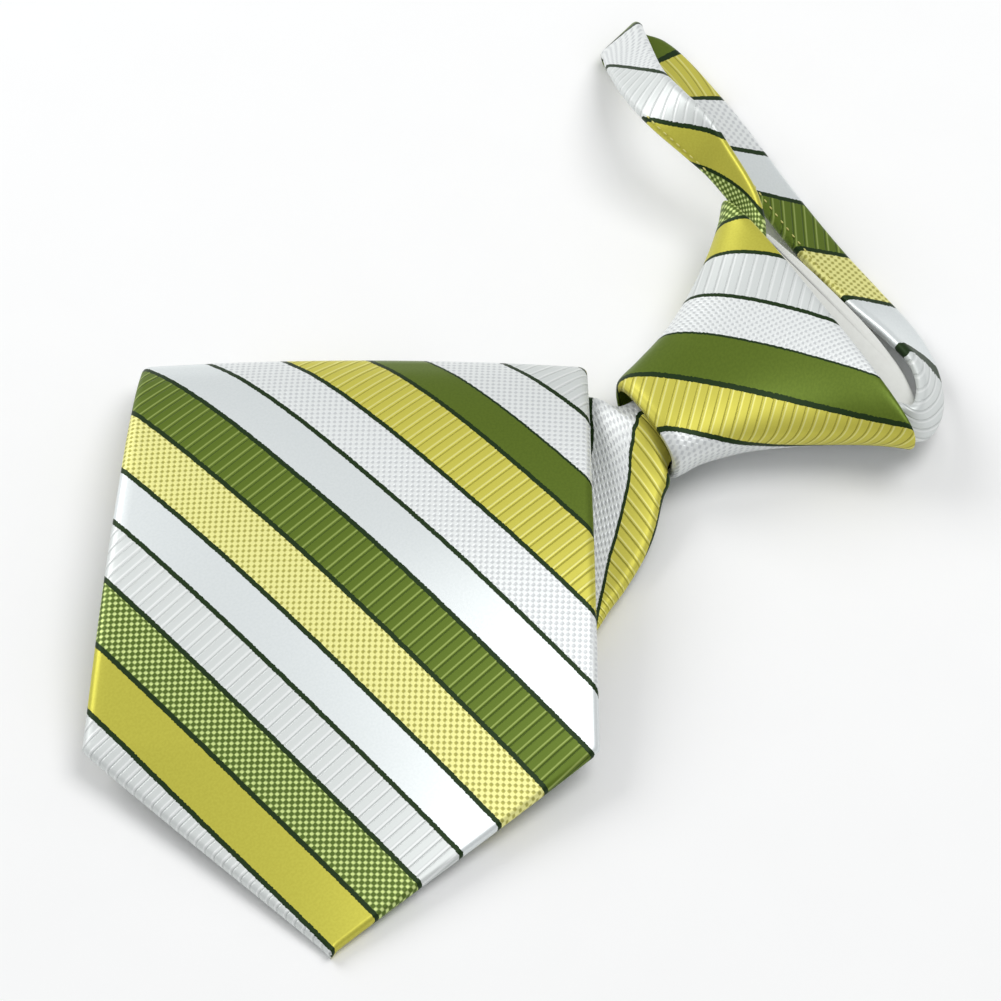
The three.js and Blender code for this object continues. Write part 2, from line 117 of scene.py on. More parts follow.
stem_height = tail_thickness + piece_gap + half_cloth
low_run_height = stem_height + layer_step
mid_run_height = low_run_height + layer_step
high_run_height = mid_run_height + layer_step
stack_height = high_run_height + layer_step + panel_puff
print("folded stack", round(stack_height, 1), "mm high")

# %% [markdown]
# The knot is wide where the neck loop goes in and narrow where the blade comes out. It lies
# turned on the floor, so it has a heading, and its collar edge is a few degrees askew. The
# former, the band and the tail could be shares of the knot, but each is cut on its own.

# %% Sizes of the knot, the former, the neck band and the zipped tail
knot_length = 38.2
knot_collar_width = 62
knot_mouth_width = 21.6
knot_thickness = 17.6
knot_mouth_thickness = 14
knot_wall = 2
knot_heading = math.radians(-144.4)
knot_skew = math.radians(5)
mouth = np.array([20.82, 0.43, 0.0])

former_thickness = 1.6
former_width = 50
former_lip = 8.4
former_depth = 22
former_height = 6.8
former_play = 3.0

band_width = 9
band_thickness = 2.2
loop_reach = 50
loop_spread = 14
loop_height = 19

tail_length = 76
tail_width = 17
tape_thickness = 1.1
coil_width = 3.2
print("knot", knot_length, "mm long, loop", loop_reach, "mm out from it")

# %% [markdown]
# Stem, knot and band lie askew to each other. Each could be modelled straight and turned
# afterwards, but a finished piece sits at the origin, unturned. So a few directions say which
# way things run, and every point is set along them from the start.

# %% Directions in the plane of the floor
def turned(vector, angle):
    """The vector turned about the upright axis."""
    c, s = math.cos(angle), math.sin(angle)
    return np.array([c * vector[0] - s * vector[1], s * vector[0] + c * vector[1], vector[2]])


def mix(a, b, share):
    """From a at nought to b at one."""
    return a + (b - a) * share


def eased(share):
    """From nought to one with a soft start and end."""
    share = np.clip(share, 0, 1)
    return share * share * (3 - 2 * share)


stem_way = turned(np.array([1.0, 0, 0]), knot_heading)
stem_right = turned(stem_way, math.pi / 2)
knot_across = turned(stem_right, -knot_skew)
knot_out = turned(knot_across, math.pi / 2)
collar_middle = mouth - stem_way * knot_length
collar_corner = collar_middle - knot_across * knot_collar_width / 2
print("the collar's corner lies at", np.round(collar_corner[:2], 1))

# %% [markdown]
# Short tables hold the shapes, a row for each fold or section, and a smooth curve runs through
# their rows. A curve object with handles could do it, but its handles would be more numbers to
# keep. This curve goes through its points alone and doesn't swing out where they lie unevenly.

# %% Smooth curves through a table
def smooth_path(points, cuts):
    """Points on a smooth curve, each step of the table cut into equal parts."""
    knots = [np.asarray(p, float) for p in points]
    knots = [2 * knots[0] - knots[1], *knots, 2 * knots[-1] - knots[-2]]
    made = []
    steps = len(points) - 1
    for place in np.linspace(0, steps, steps * cuts + 1):
        low = min(int(place + 1e-9), steps - 1)
        share = place - low
        p0, p1, p2, p3 = knots[low:low + 4]
        d0, d1, d2 = (math.sqrt(np.linalg.norm(b - a)) for a, b in ((p0, p1), (p1, p2), (p2, p3)))
        t1 = ((p1 - p0) / d0 - (p2 - p0) / (d0 + d1) + (p2 - p1) / d1) * d1
        t2 = ((p2 - p1) / d1 - (p3 - p1) / (d1 + d2) + (p3 - p2) / d2) * d1
        made.append(p1 + t1 * share + (3 * (p2 - p1) - 2 * t1 - t2) * share ** 2
                    + (2 * (p1 - p2) + t1 + t2) * share ** 3)
    return np.array(made)


def row_at(rows, place):
    """A row of a table read between its rows, smoothly."""
    low = int(np.clip(math.floor(place), 0, len(rows) - 2))
    share = place - low
    before = rows[max(low - 1, 0)]
    first, second = rows[low], rows[low + 1]
    after = rows[min(low + 2, len(rows) - 1)]
    start, end = (second - before) / 2, (after - first) / 2
    return (first + start * share + (3 * (second - first) - 2 * start - end) * share ** 2
            + (2 * (first - second) + start + end) * share ** 3)


def lengths_along(points):
    """How far each point lies along the path, from its first."""
    steps = np.linalg.norm(np.diff(points, axis=0), axis=1)
    return np.concatenate([[0], np.cumsum(steps)])


# %% [markdown]
# The front panel has two outlines. From above it tapers and ends in a point. From the side it
# is a long run that rolls over a round nose at the top. A plane could be sculpted to that, but
# two functions and one table of shares keep it exact, and each can be changed alone.

# %% The panel seen from above and from the side
def panel_axis(y):
    """Where the middle line of the panel lies."""
    return tip_x + (y - tip_y) * panel_lean


def panel_half_width(y):
    """Two straight tip edges, then a taper to the fold."""
    above = y - tip_y
    if above < tip_rise:
        return max(above / tip_rise * panel_width / 2, tip_bluntness)
    share = min((above - tip_rise) / (panel_length - tip_rise), 1)
    return mix(panel_width, panel_fold_width, share) / 2


def share_y(share):
    """The place that lies a share of the panel's length up from its tip."""
    return tip_y + share * panel_length


# Columns: along the panel, rise in the stack, wide and crown, all shares
panel_side = np.array([
    (0.620, 0.722, 0.68, 0.0),
    (0.720, 0.722, 0.69, 0.0),
    (0.800, 0.722, 0.70, 0.0),
    (0.845, 0.690, 0.73, 0.0),
    (0.880, 0.600, 0.79, 0.0),
    (0.918, 0.480, 0.86, 0.1),
    (0.956, 0.400, 0.94, 0.4),
    (0.988, 0.465, 0.99, 0.8),
    (0.987, 0.560, 1.00, 1.0),
    (0.966, 0.675, 1.00, 1.0),
    (0.936, 0.789, 1.00, 1.0),
    (0.884, 0.903, 1.00, 1.0),
    (0.815, 0.978, 1.00, 1.0),
    (0.720, 1.000, 1.00, 1.0),
    (0.600, 0.968, 1.00, 1.0),
    (0.480, 0.827, 1.00, 1.0),
    (0.309, 0.518, 1.00, 1.0),
    (0.180, 0.280, 1.00, 1.0),
    (0.080, 0.118, 1.00, 1.0),
    (0.000, 0.000, 1.00, 1.0),
])

# Columns: along the stem, left and right edge as shares of the low run's width, rise and
# arch as shares of the mouth's height, and how far the strip has settled on the tail
stem_rows = np.array([
    (-0.13, 0.134, 0.134, 0.66, 0.17, 0),
    (0.005, 0.132, 0.134, 0.66, 0.17, 0),
    (0.04, 0.215, 0.184, 0.63, 0.19, 0),
    (0.09, 0.255, 0.215, 0.56, 0.19, 0),
    (0.18, 0.268, 0.293, 0.42, 0.13, 0.1),
    (0.28, 0.277, 0.354, 0.31, 0.06, 0.4),
    (0.38, 0.290, 0.398, 0.25, 0.02, 0.85),
    (0.48, 0.304, 0.422, 0.24, 0.0, 1),
    (0.75, 0.400, 0.470, 0.24, 0.0, 1),
    (1.00, 0.482, 0.482, 0.24, 0.0, 1),
])

# %% [markdown]
# The blade is one long padded strip. It leaves the knot as a gathered stem, turns back and
# forth under the panel, rolls over at the top fold and comes down to its point. Cloth
# simulation could fold it, but a pressed and stitched fold has a known place. So the blade is
# lofted through sections: each names its two edge points, the normal of its face and its arch.

# %% Sections of the blade
stem_cuts = 7
stem_turn_start = 0.3
stem_slope = 0.25
stem_slope_reach = 0.04
roll_steps = 24
flat_step = 2
panel_cuts = 40
panel_step = 0.9
way_reach = 0.2


def blade_sections():
    """Rows of left edge, right edge, face normal, arch, and the run's name."""
    made = []

    def add(left, right, normal, arch, run):
        made.append((np.array(left), np.array(right), normal / np.linalg.norm(normal), arch, run))

    last = len(stem_rows) - 1
    for place in np.linspace(0, last, last * stem_cuts + 1):
        along, left_share, right_share, rise, arch_share, settle = row_at(stem_rows, place)
        settle = np.clip(settle, 0, 1)
        turn = eased((along - stem_turn_start) / (1 - stem_turn_start))
        across = turned(stem_right, stem_fold_slant * turn)
        reach = mix(1, 1 / math.cos(stem_fold_slant), turn)
        arch = max(arch_share, 0) * knot_mouth_thickness
        height = mix(rise * knot_mouth_thickness, stem_height, settle)
        middle = mouth + stem_way * along * stem_length + UP * (height - arch)
        slope = mix(stem_slope, 0, settle) * eased(along / stem_slope_reach)
        add(middle - across * left_share * low_run_width * reach,
            middle + across * right_share * low_run_width * reach,
            UP + stem_way * slope, arch, "stem")

    def roll(left, right, heading, face, run):
        for angle in np.linspace(0, math.pi, roll_steps + 1)[1:]:
            shift = turn_radius * (heading * math.sin(angle) + UP * (1 - math.cos(angle)))
            normal = (UP * math.cos(angle) - heading * math.sin(angle)) * face
            add(left + shift, right + shift, normal, 0, run)

    def flat(start, end, normal, run):
        steps = int(np.linalg.norm(end[0] - start[0]) / flat_step) + 2
        for share in np.linspace(0, 1, steps)[1:]:
            add(mix(start[0], end[0], share), mix(start[1], end[1], share), normal, 0, run)

    slant_way = turned(stem_right, stem_fold_slant)
    roll(made[-1][0], made[-1][1], -np.cross(UP, slant_way), 1, "low")

    back_y, front_y = share_y(back_fold_share), share_y(front_fold_share)
    low_right = panel_axis(back_y) + panel_half_width(back_y) - low_run_inset
    high_half = panel_half_width(front_y) * panel_side[0, 2]
    low_edges = np.array([[low_right - low_run_width, back_y, 0], [low_right, back_y, 0]])
    high_edges = np.array([[panel_axis(front_y) - high_half, front_y, 0],
                           [panel_axis(front_y) + high_half, front_y, 0]])
    flat(made[-1][:2], low_edges + UP * low_run_height, -UP, "low")
    roll(made[-1][0], made[-1][1], np.array([0, 1.0, 0]), -1, "low")
    flat(low_edges + UP * mid_run_height, high_edges + UP * mid_run_height, UP, "mid")
    roll(made[-1][0], made[-1][1], np.array([0, -1.0, 0]), 1, "mid")

    side = np.array([[0, share_y(row[0]), mix(half_cloth, stack_height, row[1])]
                     for row in panel_side])
    side[0, 2] = high_run_height
    fine = smooth_path(side, panel_cuts)
    reach = lengths_along(fine)
    places = np.linspace(0, len(side) - 1, len(fine))
    count = int(reach[-1] / panel_step)
    for length in np.linspace(0, reach[-1], count + 1)[1:]:
        y = np.interp(length, reach, fine[:, 1])
        z = np.interp(length, reach, fine[:, 2])
        ahead = min(length + way_reach, reach[-1])
        behind = ahead - 2 * way_reach
        way_y = np.interp(ahead, reach, fine[:, 1]) - np.interp(behind, reach, fine[:, 1])
        way_z = np.interp(ahead, reach, fine[:, 2]) - np.interp(behind, reach, fine[:, 2])
        row = row_at(panel_side, np.interp(length, reach, places))
        half_wide = panel_half_width(y) * min(row[2], 1)
        crown = panel_crown * np.clip(row[3], 0, 1) * eased((y - tip_y) / tip_rise)
        left = [panel_axis(y) - half_wide, y, z - crown]
        right = [panel_axis(y) + half_wide, y, z - crown]
        add(left, right, np.array([0, way_z, -way_y]), crown, "panel")
    return made


blade_run = blade_sections()
print("blade sections", len(blade_run))

# %% [markdown]
# A ring goes round the strip at each section. It starts at the middle of the back, where a
# real tie has its seam, so the woven stripes can run over both edges and meet there. A flat
# strip with a Solidify modifier would be quicker, but its edges would be square.

# %% Rings round a strip of cloth
widest_rounding = 0.9


def strip_outline(half_wide, half_thick, roundness, faces, corners):
    """Across and height of the points round a strip, from the middle of its back."""
    edge = min(roundness, half_wide * widest_rounding)
    flat_half = half_wide - edge
    back_half = np.linspace(0, -flat_half, faces // 2 + 1)[:-1]
    turn = np.linspace(-math.pi / 2, math.pi / 2, corners + 1)
    left = [(-flat_half - edge * math.cos(a), half_thick * math.sin(a)) for a in turn]
    top = [(x, half_thick) for x in np.linspace(-flat_half, flat_half, faces + 1)[1:-1]]
    right = [(-x, height) for x, height in reversed(left)]
    back = [(x, -half_thick) for x in back_half]
    behind = [(-x, -half_thick) for x in back_half[:0:-1]]
    return np.array([*back, *left, *top, *right, *behind])


def round_lengths(outline):
    """How far round the ring each point lies from the middle of its top, left side negative."""
    reach = lengths_along(np.vstack([outline, outline[:1]]))
    return reach - reach[-1] / 2


def strip_ring(left, right, normal, arch, outline, half_wide):
    """The outline set between two edge points, with its middle raised by the arch."""
    share = (outline[:, :1] / half_wide + 1) / 2
    rise = arch * (1 - (outline[:, :1] / half_wide) ** 2)
    return left + (right - left) * share + UP * rise + normal * outline[:, 1:]


# %% [markdown]
# Rings that follow each other make a tube. Bridge Edge Loops could join them, but made directly
# each corner of a face also gets its place on the cloth. One face closes each end, or the last
# ring joins the first where the piece is a sleeve with a wall.

# %% Closed bodies from rings
def body(name, rings, cloth_map, cap=True):
    """A closed mesh object from rings of equal length. The map holds for each ring the place
    across the stripes and along them, with one more column than the ring has points."""
    rings = np.asarray(rings)
    count, sides = rings.shape[:2]
    mesh = bpy.data.meshes.new(name)
    corner = np.arange(sides)
    faces, places = [], []
    for i in range(count - 1 if cap else count):
        j = (i + 1) % count
        for k in corner:
            n = (k + 1) % sides
            faces.append((i * sides + k, i * sides + n, j * sides + n, j * sides + k))
            here, ahead = cloth_map[i], cloth_map[j]
            places.extend((here[k], here[k + 1], ahead[k + 1], ahead[k]))
    if cap:
        faces.append(tuple(corner[::-1]))
        places.extend(cloth_map[0][k] for k in corner[::-1])
        faces.append(tuple(corner + (count - 1) * sides))
        places.extend(cloth_map[count - 1][k] for k in corner)
    mesh.from_pydata((rings.reshape(-1, 3) * MM).tolist(), [], faces)
    layer = mesh.uv_layers.new(name="stripes")
    layer.data.foreach_set("uv", np.asarray(places, np.float32).ravel())
    piece = bpy.data.objects.new(name, mesh)
    bpy.context.scene.collection.objects.link(piece)
    point_out(piece)
    mesh.shade_smooth()
    return piece


def point_out(piece):
    """Turns the faces out where the body is inside out."""
    work = bmesh.new()
    work.from_mesh(piece.data)
    if work.calc_volume(signed=True) < 0:
        bmesh.ops.reverse_faces(work, faces=work.faces)
        work.to_mesh(piece.data)
    work.free()


# %% [markdown]
# The woven stripes are the look of this tie. Twelve of them make one repeat, each with its own
# weave: ribbed, a basket weave, or a plain satin. A stripe could be a material of its own, but
# then its edge would have to follow the mesh. So the cloth carries two numbers at every point,
# in millimetres: how far across the stripes it lies, and how far along them.

# %% The stripe repeat
# Columns: weave, colour, width in millimetres, from the panel's lower left upwards
stripe_repeat = [
    ("satin", "yellow", 8.6),
    ("basket", "green", 9.0),
    ("rib", "white", 8.8),
    ("satin", "white", 7.9),
    ("basket", "yellow", 10.0),
    ("rib", "green", 9.8),
    ("satin", "white", 8.3),
    ("basket", "white", 9.5),
    ("rib", "yellow", 10.6),
    ("satin", "green", 7.0),
    ("basket", "white", 9.6),
    ("rib", "white", 10.0),
]
repeat_width = sum(row[2] for row in stripe_repeat)
repeat_start = -41.7
borders = repeat_start + np.cumsum([0] + [row[2] for row in stripe_repeat])
print("repeat", round(repeat_width, 1), "mm, borders", np.round(borders, 1))

# %% [markdown]
# A tie is cut on the bias, so its stripes cross the panel at about 45 degrees. A turned texture
# could show that on a flat panel, but it would slide at the folds. The cloth's own coordinates
# are turned instead, and each stripe stays whole where the strip rolls over.

# %% Stripes on the panel
stripe_angle = math.radians(45.1)
stripe_middle = 60
print("stripes at", round(math.degrees(stripe_angle), 1), "degrees")


def panel_stripes(aside, from_tip):
    """Across the stripes and along them, for a place on the blade's cloth."""
    above = from_tip - stripe_middle
    c, s = math.cos(stripe_angle), math.sin(stripe_angle)
    return np.stack([aside * c + above * s, -aside * s + above * c], -1)


# %% [markdown]
# Now the blade's sections get their rings. On the gathered stem the stripes run nearly along
# the strip and draw in towards the knot, so a table says where two borders lie there. Each run
# could be a piece of its own, but one mesh has no joint where the cloth rolls over.

# %% The blade's rings and its cloth map
blade_rounding = 1.6
blade_faces = 56
blade_corners = 8
stem_stripe = 8
stem_squeeze = 0.7


def blade_rings():
    middles = np.array([(left + right) / 2 + UP * arch for left, right, _, arch, _ in blade_run])
    middles[:, 0] = np.where([run == "panel" for *_, run in blade_run], 0, middles[:, 0])
    reach = lengths_along(middles)
    from_tip = reach[-1] - reach
    rings, cloth_map = [], []
    for (left, right, normal, arch, run), length in zip(blade_run, from_tip):
        half_wide = np.linalg.norm(right - left) / 2
        outline = strip_outline(half_wide, half_cloth, blade_rounding, blade_faces, blade_corners)
        rings.append(strip_ring(left, right, normal, arch, outline, half_wide))
        aside = round_lengths(outline)
        if run == "stem":
            cloth_map.append(stem_stripes(left, right, aside, length))
        else:
            cloth_map.append(panel_stripes(aside, np.full_like(aside, length)))
    return rings, cloth_map


# Columns: along the stem as a share, then how far from its middle two borders lie, in millimetres
stem_borders = np.array([
    (0.00, -2.5, 7.6),
    (0.06, 2.3, 12.2),
    (0.13, 5.9, 14.6),
    (0.21, 8.4, 16.6),
    (0.34, 12.8, 20.5),
    (0.54, 20.5, 28.0),
    (1.00, 37.0, 46.0),
])


def stem_stripes(left, right, aside, from_tip):
    """On the gathered stem the stripes run nearly along it."""
    along = ((left + right) / 2 - mouth) @ stem_way / stem_length
    basket_end = np.interp(along, stem_borders[:, 0], stem_borders[:, 1])
    ribbed_end = np.interp(along, stem_borders[:, 0], stem_borders[:, 2])
    share = (aside - basket_end) / (ribbed_end - basket_end)
    share = np.where(share < 0, share * stem_squeeze, share)
    across = mix(borders[stem_stripe], borders[stem_stripe + 1], share)
    return np.stack([across, np.full_like(aside, from_tip)], -1)


rings, cloth_map = blade_rings()
blade = body("blade_silk", rings, cloth_map)
print("blade", len(blade.data.polygons), "faces")

# %% [markdown]
# The knot is a hollow sleeve, wide at the collar and narrow at its mouth. A real one is wound,
# and a simulation would wind a knot of its own shape. So the sleeve is lofted from sections,
# most of them blunter above the belt than below. The same rings, set in by the wall, make it
# hollow.

# %% The knot
# Columns: along from the collar end, width from the mouth's to the collar's, top, base and belt
# as shares of the thickness there, and how blunt the section is above and below its belt
knot_rows = np.array([
    (0.000, 0.985, 0.93, 0.045, 0.58, 3.0, 2.0),
    (0.020, 1.00, 0.975, 0.02, 0.60, 3.0, 2.0),
    (0.100, 0.84, 1.00, 0.0, 0.60, 2.7, 2.0),
    (0.250, 0.61, 1.01, 0.0, 0.60, 2.4, 2.0),
    (0.450, 0.36, 1.01, 0.0, 0.62, 2.3, 2.0),
    (0.650, 0.16, 1.01, 0.02, 0.66, 2.3, 2.0),
    (0.850, 0.04, 1.02, 0.06, 0.68, 2.3, 2.0),
    (0.950, 0.00, 1.02, 0.08, 0.66, 2.3, 2.3),
    (0.985, -0.02, 0.98, 0.10, 0.64, 2.3, 2.5),
    (1.000, -0.05, 0.95, 0.12, 0.62, 2.3, 2.6),
])
knot_sides = 144
knot_cuts = 6
mouth_thinning = 0.5
thinning_start = 0.8
thinning_reach = 0.2


def knot_section(place, inset):
    """One ring of the sleeve, from the middle of its back, and its lengths round."""
    along, wide, top_share, base_share, belt_share, blunt, blunt_below = row_at(knot_rows, place)
    along = np.clip(along, 0, 1)
    inset = inset * (1 - mouth_thinning * eased((along - thinning_start) / thinning_reach))
    half_wide = mix(knot_mouth_width, knot_collar_width, wide) / 2 - inset
    thick = mix(knot_thickness, knot_mouth_thickness, along)
    top = thick * top_share - inset
    base = thick * max(base_share, 0) + inset
    belt = thick * belt_share
    centre = mouth - stem_way * (1 - along) * knot_length
    angle = np.linspace(-math.pi / 2, 3 * math.pi / 2, knot_sides + 1)
    c, s = np.cos(angle), np.sin(angle)
    power = np.where(s > 0, 2 / blunt, 2 / blunt_below)
    reach = half_wide * np.sign(c) * np.abs(c) ** power
    rise = np.where(s > 0, top - belt, belt - base) * np.sign(s) * np.abs(s) ** power
    ring = centre + reach[:, None] * knot_across + (belt + rise)[:, None] * UP
    lengths = lengths_along(ring)
    return ring[:-1], lengths[knot_sides // 2] - lengths, (1 - along) * knot_length


# Each border of a stripe on the knot: its number in the repeat, and how far round the knot it
# lies at the mouth, half way and at the collar, in millimetres from the middle of the top
knot_borders = np.array([
    (6, 38, 53, 63),
    (7, 18, 34, 44),
    (8, 4.3, 21.5, 37),
    (9, -10.3, 10.3, 31),
    (10, -24.5, -4.3, 20.3),
    (11, -38, -17.8, 6.6),
    (12, -50, -31.5, -11.2),
    (13, -58, -40, -22.3),
    (14, -70, -52, -34),
])
knot_slant = 1.08


def knot_stripes(away, aside):
    """Across the stripes and along them, on the knot."""
    share = away / knot_length
    at_mouth, half_way, at_collar = knot_borders[:, 1], knot_borders[:, 2], knot_borders[:, 3]
    bend = 2 * (at_mouth + at_collar - 2 * half_way)
    lies = at_mouth + (at_collar - at_mouth) * share - bend * share * (1 - share)
    number = np.interp(-aside, -lies, knot_borders[:, 0])
    onward = [*borders, *(borders[1:3] + repeat_width)]
    across = np.interp(number, np.arange(len(onward)), onward)
    return np.stack([across, (away + knot_slant * aside) / math.hypot(1, knot_slant)], -1)


def knot_sleeve():
    """The outer rings from collar to mouth, then the inner ones back again."""
    last = len(knot_rows) - 1
    places = np.linspace(0, last, last * knot_cuts + 1)
    rings, cloth_map = [], []
    for inset, order in ((0, places), (knot_wall, places[::-1])):
        for place in order:
            ring, aside, away = knot_section(place, inset)
            rings.append(ring)
            cloth_map.append(knot_stripes(away, aside))
    return body("knot_silk", rings, cloth_map, cap=False)


knot = knot_sleeve()
print("knot", len(knot.data.polygons), "faces")

# %% [markdown]
# The neck band is a narrow folded strip. It comes out of the knot's collar end, makes the small
# loop with one flat fold at its far end, and goes back into the collar. A bevelled curve could
# follow it, but its tilt is hard to hold at the fold. So a table gives at each step where the
# band lies, which way its width points and how far it leans.

# %% The neck band
# Columns: along, out and rise as shares of the loop's reach, spread and height, the way of the
# band's width in plan and its lean, both in degrees, and its width as a share
band_rows = np.array([
    (-0.330, -0.76, 0.570, -45, 6, 0.60),
    (-0.245, -0.38, 0.580, -44, 14, 0.60),
    (-0.150, 0.00, 0.600, -34, 32, 0.60),
    (-0.050, 0.20, 0.660, -11, 46, 0.62),
    (0.104, 0.17, 0.815, 9, 48, 0.78),
    (0.218, 0.07, 0.950, 13, 40, 0.95),
    (0.377, -0.05, 1.000, 3, 28, 1.00),
    (0.563, 0.02, 0.842, -9, 26, 1.00),
    (0.759, 0.26, 0.560, -8, 18, 1.04),
    (0.900, 0.47, 0.340, 10, 8, 1.15),
    (0.965, 0.59, 0.225, 20, 2, 1.25),
    (0.990, 0.62, 0.148, 20, 0, 1.25),
    (0.965, 0.63, 0.078, 20, 0, 1.25),
    (0.890, 0.85, 0.092, 15, -6, 1.10),
    (0.548, 0.99, 0.142, -3, -20, 1.00),
    (0.010, 0.92, 0.140, -1, -18, 1.00),
    (-0.253, 0.92, 0.145, 2, -18, 1.00),
    (-0.421, 0.96, 0.165, 3, -22, 1.00),
    (-0.614, 0.99, 0.240, -4, -36, 1.00),
    (-0.765, 0.87, 0.330, -20, -54, 1.00),
    (-0.885, 0.56, 0.430, -43, -60, 0.90),
    (-0.935, 0.22, 0.500, -89, -56, 0.80),
    (-0.895, -0.06, 0.560, -133, -30, 0.70),
    (-0.805, -0.38, 0.580, -141, -12, 0.60),
    (-0.710, -0.72, 0.570, -141, -6, 0.60),
])


band_cuts = 12
band_rounding = 1.1


def band_stations(cuts):
    """Along the band: its point, its way across, its face's normal and its width as a share,
    and then how far along the band each of these lies."""
    points = [collar_corner - knot_across * row[0] * (loop_reach if row[0] > 0 else knot_collar_width)
              + knot_out * row[1] * loop_spread + UP * row[2] * loop_height for row in band_rows]
    path = smooth_path(points, cuts)
    places = np.linspace(0, len(band_rows) - 1, len(path))
    stations = []
    for point, way, place in zip(path, np.gradient(path, axis=0), places):
        *_, side, lean, wide = row_at(band_rows, place)
        side, lean = math.radians(side), math.radians(lean)
        in_plan = knot_out * math.cos(side) - knot_across * math.sin(side)
        across = in_plan * math.cos(lean) + UP * math.sin(lean)
        normal = np.cross(across, way)
        stations.append((point, across, normal / np.linalg.norm(normal), wide))
    return stations, lengths_along(path)


def band_rings(grown, cuts, faces, corners):
    """Rings of the band grown on every side, how far aside each point lies, and the lengths."""
    stations, reach = band_stations(cuts)
    rings, asides = [], []
    for point, across, normal, wide in stations:
        half_wide = band_width / 2 * wide + grown
        outline = strip_outline(half_wide, band_thickness / 2 + grown, band_rounding + grown,
                                faces, corners)
        rings.append(strip_ring(point - across * half_wide, point + across * half_wide, normal, 0,
                                outline, half_wide))
        asides.append(np.append(outline[:, 0], outline[0, 0]) / wide)
    return rings, asides, reach


# Each border of a stripe on the band, counted down from the start of the repeat: how far along
# the band its middle lies, and how far it slips along for each millimetre across the band
band_borders = np.array([
    (2, 10, -1.9),
    (1, 28.3, -1.9),
    (0, 40.6, -1.5),
    (-1, 63, -2.0),
    (-2, 81.6, -0.3),
    (-3, 92.6, 0.1),
    (-4, 105.1, 0.2),
    (-5, 120.4, 0.4),
    (-6, 132.8, 0.65),
    (-7, 147.8, 0.6),
    (-8, 162.2, 0.6),
    (-9, 178.8, 0.5),
    (-10, 240, 0.5),
    (-11, 260, 0.5),
])
down_borders = [borders[number] if number >= 0
                else borders[len(stripe_repeat) + number] - repeat_width
                for number in band_borders[:, 0].astype(int)]
slip_blur = 8
slip_limit = 7


def band_stripes(reach, asides):
    """Across the stripes and along them, on each ring of the neck band."""
    slip = np.interp(reach, band_borders[:, 1], band_borders[:, 2])
    window = 2 * slip_blur + 1
    slip = np.convolve(np.pad(slip, slip_blur, "edge"), np.ones(window) / window, "valid")
    forward = np.concatenate([[0], np.cumsum(np.diff(reach) * (slip / np.hypot(1, slip))[1:])])
    made = []
    for along, aside, start, lean in zip(reach, asides, forward, slip):
        lies = band_borders[:, 1:2] + band_borders[:, 2:] * np.clip(aside, -slip_limit, slip_limit)
        across = [np.interp(along, column, down_borders) for column in lies.T]
        made.append(np.stack([across, start + aside / math.hypot(1, lean)], -1))
    return made


rings, asides, reach = band_rings(0, band_cuts, 12, 6)
band = body("band_silk", rings, band_stripes(reach, asides))
print("band", len(band.data.polygons), "faces, length", round(reach[-1], 1), "mm")

# %% [markdown]
# The sleeve is cut where the band crosses its collar rim, so the two never share a place. A
# Boolean modifier does that here, with the band's own rings grown by the gap between pieces.

# %% Room for the band in the knot
def cut_away(piece, tool):
    """Cuts the tool's body out of the piece and removes the tool."""
    modifier = piece.modifiers.new("cut", "BOOLEAN")
    modifier.operation = "DIFFERENCE"
    modifier.solver = "EXACT"
    modifier.object = tool
    bpy.context.view_layer.update()
    graph = bpy.context.evaluated_depsgraph_get()
    mesh = bpy.data.meshes.new_from_object(piece.evaluated_get(graph), depsgraph=graph)
    piece.modifiers.remove(modifier)
    piece.data = mesh
    mesh.name = piece.name


room_rings, room_asides, _ = band_rings(piece_gap, 6, 4, 3)
band_room = body("band_room", room_rings, [np.zeros((len(a), 2)) for a in room_asides])
cut_away(knot, band_room)
print("knot after the cut", len(knot.data.polygons), "faces")

# %% [markdown]
# The former is a thin moulded plate. It is wedged in the sleeve, and its lip stands out past
# the collar edge, where it shows as a smooth white rim. A flat face with Solidify and Bevel
# could make it, but rings that shrink towards its two faces round its edge in one step.

# %% The former
# Columns: along half the lip's length and out to its depth, both as shares
lip_rows = [(0.99, 0.15), (0.95, 0.62), (0.70, 0.90), (0.30, 1.00), (-0.20, 0.90), (-0.72, 0.68),
            (-0.99, 0.45), (-0.93, 0.10)]


former_rounding = 0.8


def knot_half_width(along):
    """Half the sleeve's width at a share of its length from the collar."""
    wide = np.interp(along, knot_rows[:, 0], knot_rows[:, 1])
    return mix(knot_mouth_width, knot_collar_width, wide) / 2


def former_outline():
    """The plate's outline in its own plane, from deep inside the sleeve and round the lip."""
    straight = -stem_way @ knot_out
    drift = stem_way @ knot_across / straight
    tight = knot_wall + former_play
    depths = np.linspace(former_depth, 1, 12)
    wide = [knot_half_width(depth / straight / knot_length) - tight for depth in depths]
    right = [(half + drift * depth, -depth) for half, depth in zip(wide, depths)]
    left = [(-half + drift * depth, -depth) for half, depth in zip(wide, depths)][::-1]
    lip = smooth_path([(side * former_width / 2, out * former_lip) for side, out in lip_rows], 8)
    return np.array([*right, *lip, *left])


def rounded_plate(name, outline, low, thickness, edge):
    """A plate with round edges, as rings that shrink towards its two faces."""
    way = np.roll(outline, -1, 0) - np.roll(outline, 1, 0)
    inward = np.stack([-way[:, 1], way[:, 0]], -1) / np.linalg.norm(way, axis=1)[:, None]
    rings = []
    for angle in np.linspace(-math.pi / 2, math.pi / 2, 9):
        flat = outline + inward * edge * (1 - math.cos(angle))
        height = low + thickness / 2 + math.sin(angle) * thickness / 2
        rings.append(collar_middle + flat[:, :1] * knot_across + flat[:, 1:] * knot_out + UP * height)
    plain = [np.zeros((len(outline) + 1, 2))] * len(rings)
    return body(name, rings, plain)


